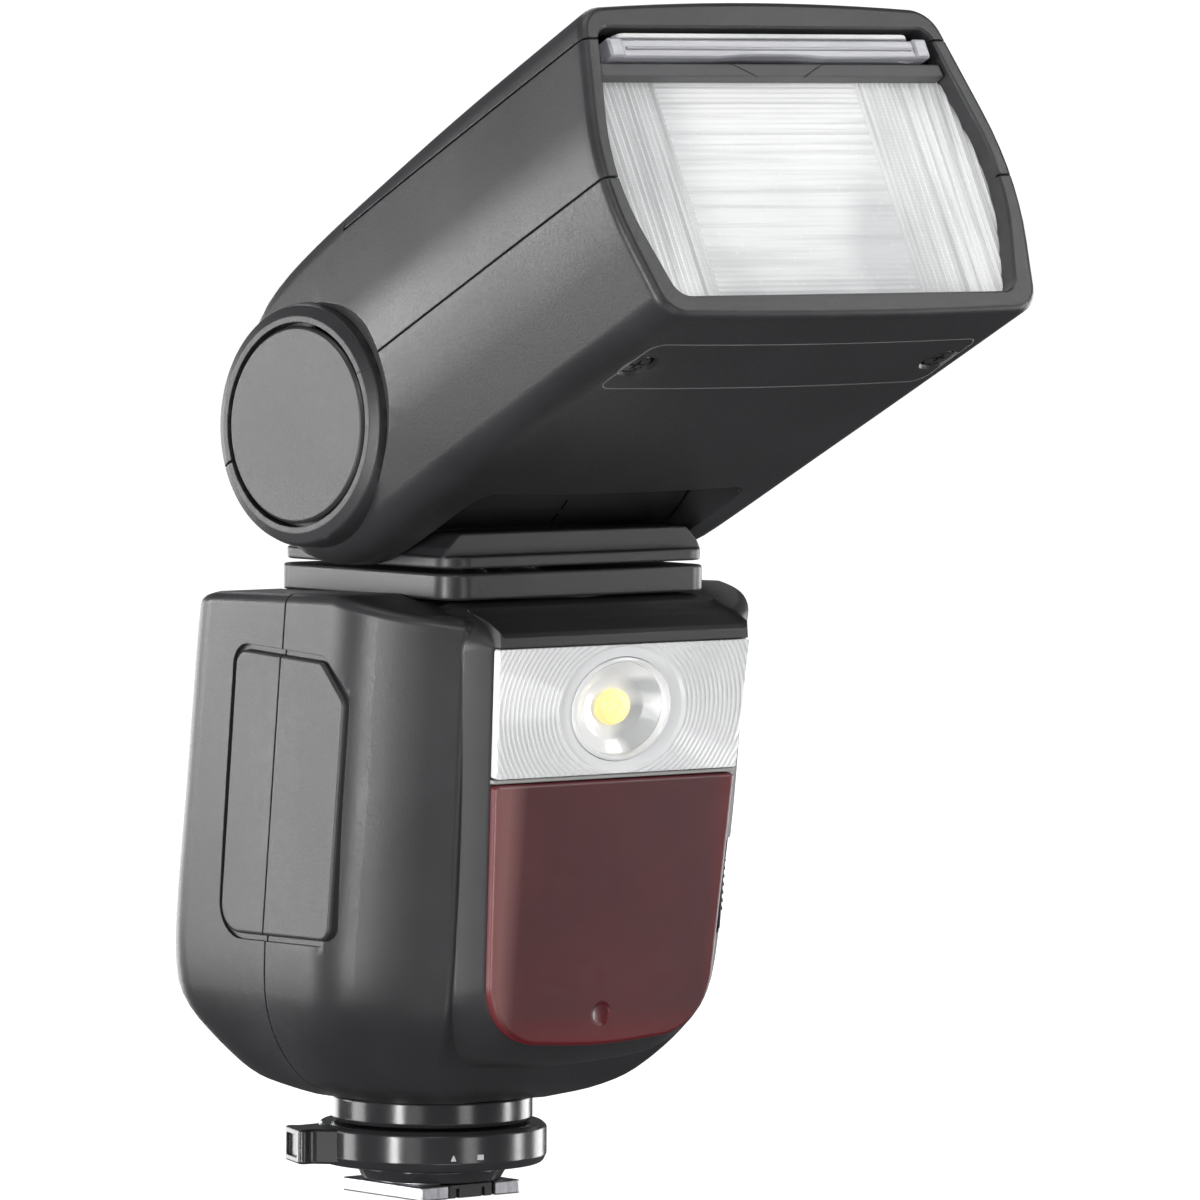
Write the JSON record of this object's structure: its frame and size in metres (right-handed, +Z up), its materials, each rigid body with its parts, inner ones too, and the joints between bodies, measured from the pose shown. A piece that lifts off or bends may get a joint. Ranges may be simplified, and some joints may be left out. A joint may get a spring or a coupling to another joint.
{
  "type": "speedlight flash",
  "caption": "Shoe-mounted camera flash: leaning body with lamp and sensor windows, swivel collar, tilting zoom head with pull-out panels.",
  "frame": {"origin": "centre of the underside of the shoe foot", "axes": "+Z up along the shoe, -Y the way the lamp window and the unswivelled head face, +X to the right seen from the front"},
  "size_m": [0.0774, 0.1156, 0.1736],
  "materials": {
    "shell": "satin charcoal moulded plastic with a fine grain",
    "rubber": "matte dark rubberised plastic",
    "clear": "clear moulded acrylic with ribs or rings",
    "red": "glossy dark red translucent acrylic",
    "metal": "bright plated metal",
    "mirror": "bright mirror-finished reflector",
    "white": "white plastic sheet",
    "board": "green printed board",
    "grey": "mid grey moulded plastic",
    "led": "yellow phosphor",
    "sleeve": "shrink sleeve",
    "glass": "dark glossy display window"
  },
  "bodies": {
    "body": {"body_front_shell": "shell", "body_rear_shell": "shell", "swivel_collar": "shell", "lamp_window": "clear", "sensor_window": "red", "sensor_baffle": "glass", "lamp_reflector": "mirror", "lamp_led": "led", "af_emitter": "red", "lcd_window": "glass", "lcd_module": "grey", "main_board": "board", "main_capacitor": "sleeve", "battery_contacts": "metal", "sync_socket": "metal", "shoe_neck": "shell", "shoe_foot": "metal", "contact_block": "rubber"},
    "contact_pins": {"contact_pins": "metal"},
    "lock_ring": {"lock_ring": "rubber"},
    "lock_pin": {"lock_pin": "metal"},
    "battery_pack": {"battery_pack": "rubber"},
    "battery_latch": {"battery_latch": "grey"},
    "port_cover": {"port_cover": "rubber"},
    "soft_key_1": {"soft_key_1": "rubber"},
    "soft_key_2": {"soft_key_2": "rubber"},
    "soft_key_3": {"soft_key_3": "rubber"},
    "soft_key_4": {"soft_key_4": "rubber"},
    "mode_key": {"mode_key": "rubber"},
    "zoom_key": {"zoom_key": "rubber"},
    "select_dial": {"select_dial": "rubber"},
    "set_button": {"set_button": "rubber"},
    "test_button": {"test_button": "rubber"},
    "power_switch": {"power_switch": "grey"},
    "yoke": {"yoke_front_shell": "shell", "yoke_rear_shell": "shell", "hinge_axle": "metal", "axle_nut_left": "metal", "axle_nut_right": "metal", "swivel_shaft": "metal", "swivel_retaining_ring": "metal"},
    "head": {"head_top_cover": "shell", "head_upper_shell": "shell", "head_lower_shell": "shell", "fresnel_lens": "clear", "panel_tray": "grey", "hinge_cap_left": "shell", "hinge_cap_right": "shell", "zoom_motor": "metal", "guide_rod": "metal", "head_board": "board", "head_screw_left": "metal", "head_screw_right": "metal"},
    "wide_panel": {"wide_panel": "clear"},
    "bounce_card": {"bounce_card": "white"},
    "lead_screw": {"lead_screw": "metal"},
    "zoom_carriage": {"zoom_carriage": "grey", "flash_reflector": "mirror", "flash_tube": "clear"}
  },
  "joints": [
    {"name": "head_swivel", "type": "hinge", "parent": "body", "child": "yoke", "pos_m": [0, -0.0135, 0.093], "axis": [0, 0, 1], "range_deg": [-180, 180]},
    {"name": "head_tilt", "type": "hinge", "parent": "yoke", "child": "head", "pos_m": [0, -0.0148, 0.114], "axis": [-1, 0, 0], "range_deg": [-27, 93]},
    {"name": "wide_panel_slide", "type": "slide", "parent": "head", "child": "wide_panel", "axis": [0, -0.891, 0.454], "range_m": [0, 0.045]},
    {"name": "bounce_card_slide", "type": "slide", "parent": "head", "child": "bounce_card", "axis": [0, -0.891, 0.454], "range_m": [0, 0.045]},
    {"name": "zoom_slide", "type": "slide", "parent": "head", "child": "zoom_carriage", "axis": [0, -0.891, 0.454], "range_m": [0, 0.018]},
    {"name": "lead_screw_turn", "type": "hinge", "parent": "head", "child": "lead_screw", "pos_m": [-0.0284, -0.04734, 0.11621], "axis": [0, -0.891, 0.454], "range_deg": [0, 3241]},
    {"name": "lock_ring_turn", "type": "hinge", "parent": "body", "child": "lock_ring", "pos_m": [0, 0, 0.0075], "axis": [0, 0, -1], "range_deg": [0, 60]},
    {"name": "lock_pin_slide", "type": "slide", "parent": "body", "child": "lock_pin", "axis": [0, 0, -1], "range_m": [0, 0.0015]},
    {"name": "contact_pins_press", "type": "slide", "parent": "body", "child": "contact_pins", "axis": [0, 0, 1], "range_m": [0, 0.0004], "stiffness_N_per_m": 150, "springref_m": -0.0002},
    {"name": "battery_slide", "type": "slide", "parent": "body", "child": "battery_pack", "axis": [1, 0, 0], "range_m": [0, 0.048]},
    {"name": "battery_latch_slide", "type": "slide", "parent": "body", "child": "battery_latch", "axis": [0, -1, 0], "range_m": [0, 0.003], "stiffness_N_per_m": 120, "springref_m": -0.0003},
    {"name": "port_cover_hinge", "type": "hinge", "parent": "body", "child": "port_cover", "pos_m": [0.02805, -0.03168, 0.04601], "axis": [-0.0478, 0.0385, -0.9981], "range_deg": [0, 100]},
    {"name": "soft_key_1_press", "type": "slide", "parent": "body", "child": "soft_key_1", "axis": [0, -0.9929, -0.1191], "range_m": [0, 0.0006], "stiffness_N_per_m": 150, "springref_m": -0.0001},
    {"name": "soft_key_2_press", "type": "slide", "parent": "body", "child": "soft_key_2", "axis": [0, -0.9929, -0.1191], "range_m": [0, 0.0006], "stiffness_N_per_m": 150, "springref_m": -0.0001},
    {"name": "soft_key_3_press", "type": "slide", "parent": "body", "child": "soft_key_3", "axis": [0, -0.9929, -0.1191], "range_m": [0, 0.0006], "stiffness_N_per_m": 150, "springref_m": -0.0001},
    {"name": "soft_key_4_press", "type": "slide", "parent": "body", "child": "soft_key_4", "axis": [0, -0.9929, -0.1191], "range_m": [0, 0.0006], "stiffness_N_per_m": 150, "springref_m": -0.0001},
    {"name": "mode_key_press", "type": "slide", "parent": "body", "child": "mode_key", "axis": [0, -0.9929, -0.1191], "range_m": [0, 0.0006], "stiffness_N_per_m": 150, "springref_m": -0.0001},
    {"name": "zoom_key_press", "type": "slide", "parent": "body", "child": "zoom_key", "axis": [0, -0.9929, -0.1191], "range_m": [0, 0.0006], "stiffness_N_per_m": 150, "springref_m": -0.0001},
    {"name": "test_button_press", "type": "slide", "parent": "body", "child": "test_button", "axis": [0, -0.9929, -0.1191], "range_m": [0, 0.0006], "stiffness_N_per_m": 150, "springref_m": -0.0001},
    {"name": "select_dial_turn", "type": "hinge", "parent": "body", "child": "select_dial", "pos_m": [0, 0.02012, 0.03882], "axis": [0, 0.9929, 0.1191], "continuous": true},
    {"name": "set_button_press", "type": "slide", "parent": "body", "child": "set_button", "axis": [0, -0.9929, -0.1191], "range_m": [0, 0.0006], "stiffness_N_per_m": 150, "springref_m": -0.0001},
    {"name": "power_switch_slide", "type": "slide", "parent": "body", "child": "power_switch", "axis": [1, 0, 0], "range_m": [0, 0.0038]}
  ],
  "couplings": [
    {"joint": "lead_screw_turn", "follows": "zoom_slide", "rad_per_m": 3141.6},
    {"joint": "lock_pin_slide", "follows": "lock_ring_turn", "m_per_rad": 0.00143}
  ]
}
